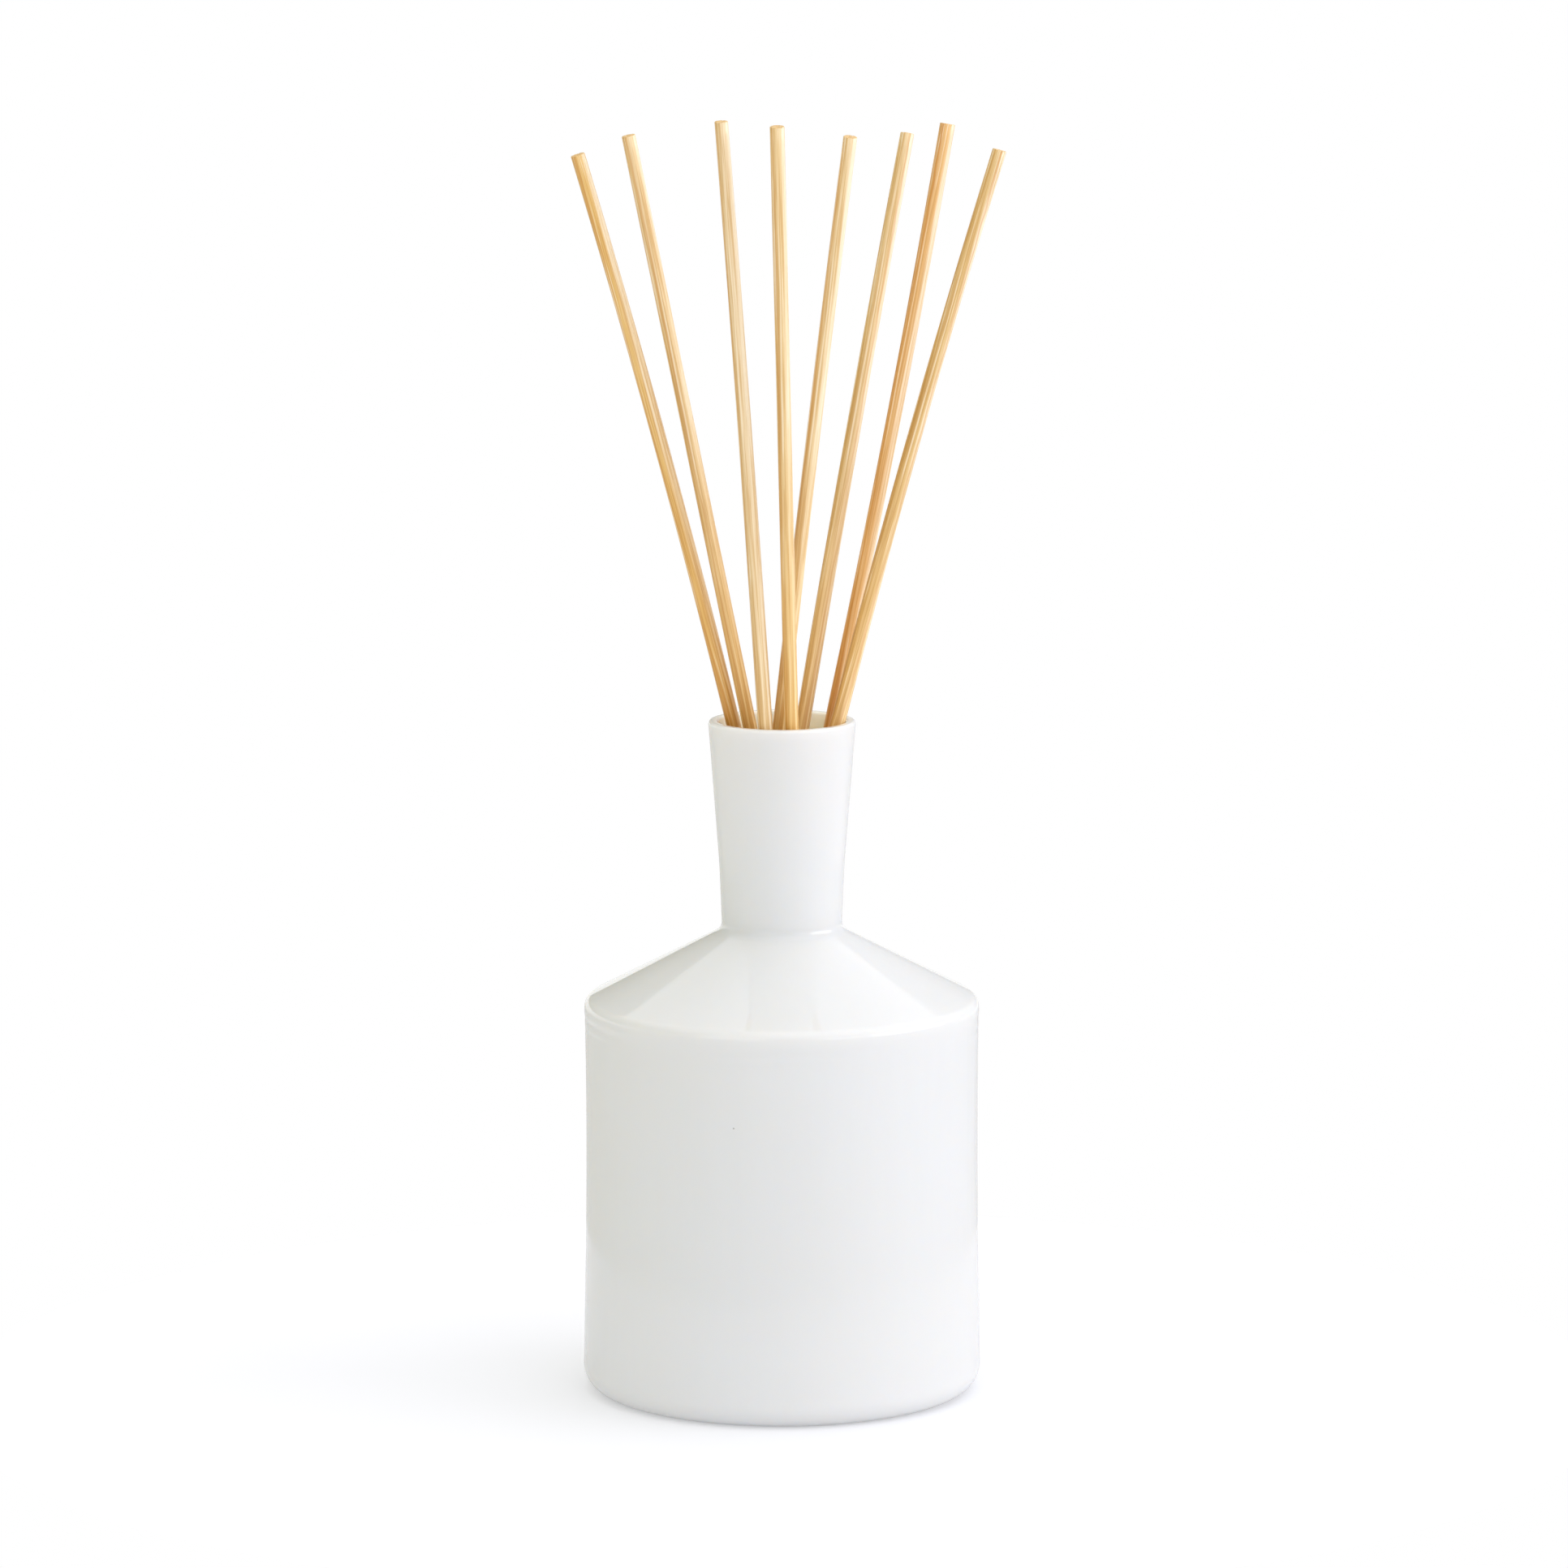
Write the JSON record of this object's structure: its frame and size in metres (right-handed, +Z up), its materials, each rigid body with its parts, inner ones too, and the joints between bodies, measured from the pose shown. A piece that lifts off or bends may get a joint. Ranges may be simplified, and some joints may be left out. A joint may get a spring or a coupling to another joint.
{
  "type": "fragrance reed diffuser",
  "caption": "White opal-glass fragrance diffuser bottle with a sloping shoulder and flared neck, its oil, and slim rattan reeds that fan out of the mouth and pull out one by one.",
  "frame": {"origin": "middle of the bottle's base, on the surface that it stands on", "axes": "+Z up along the bottle's axis, +X to the right and +Y to the back as the fan of reeds is seen from the front"},
  "size_m": [0.1018, 0.0956, 0.3077],
  "materials": {
    "opal_glass": "glossy opaque white opal glass",
    "fragrance_oil": "clear pale amber liquid",
    "rattan": "dry unvarnished reed with fine lengthwise fibres"
  },
  "bodies": {
    "bottle": {"bottle": "opal_glass", "fragrance_oil": "fragrance_oil"},
    "reed_1": {"reed_1": "rattan"},
    "reed_2": {"reed_2": "rattan"},
    "reed_3": {"reed_3": "rattan"},
    "reed_4": {"reed_4": "rattan"},
    "reed_5": {"reed_5": "rattan"},
    "reed_6": {"reed_6": "rattan"},
    "reed_7": {"reed_7": "rattan"},
    "reed_8": {"reed_8": "rattan"}
  },
  "joints": [
    {"name": "reed_1_lift", "type": "slide", "parent": "bottle", "child": "reed_1", "axis": [-0.2559, -0.1008, 0.9614], "range_m": [0, 0.18]},
    {"name": "reed_2_lift", "type": "slide", "parent": "bottle", "child": "reed_2", "axis": [-0.1947, -0.0874, 0.977], "range_m": [0, 0.18]},
    {"name": "reed_3_lift", "type": "slide", "parent": "bottle", "child": "reed_3", "axis": [-0.0704, -0.1063, 0.9918], "range_m": [0, 0.18]},
    {"name": "reed_4_lift", "type": "slide", "parent": "bottle", "child": "reed_4", "axis": [-0.0232, -0.1449, 0.9892], "range_m": [0, 0.18]},
    {"name": "reed_5_lift", "type": "slide", "parent": "bottle", "child": "reed_5", "axis": [0.1138, -0.1624, 0.9801], "range_m": [0, 0.18]},
    {"name": "reed_6_lift", "type": "slide", "parent": "bottle", "child": "reed_6", "axis": [0.1753, 0.1777, 0.9684], "range_m": [0, 0.18]},
    {"name": "reed_7_lift", "type": "slide", "parent": "bottle", "child": "reed_7", "axis": [0.1884, 0.0715, 0.9795], "range_m": [0, 0.18]},
    {"name": "reed_8_lift", "type": "slide", "parent": "bottle", "child": "reed_8", "axis": [0.2703, 0.0135, 0.9627], "range_m": [0, 0.18]}
  ]
}
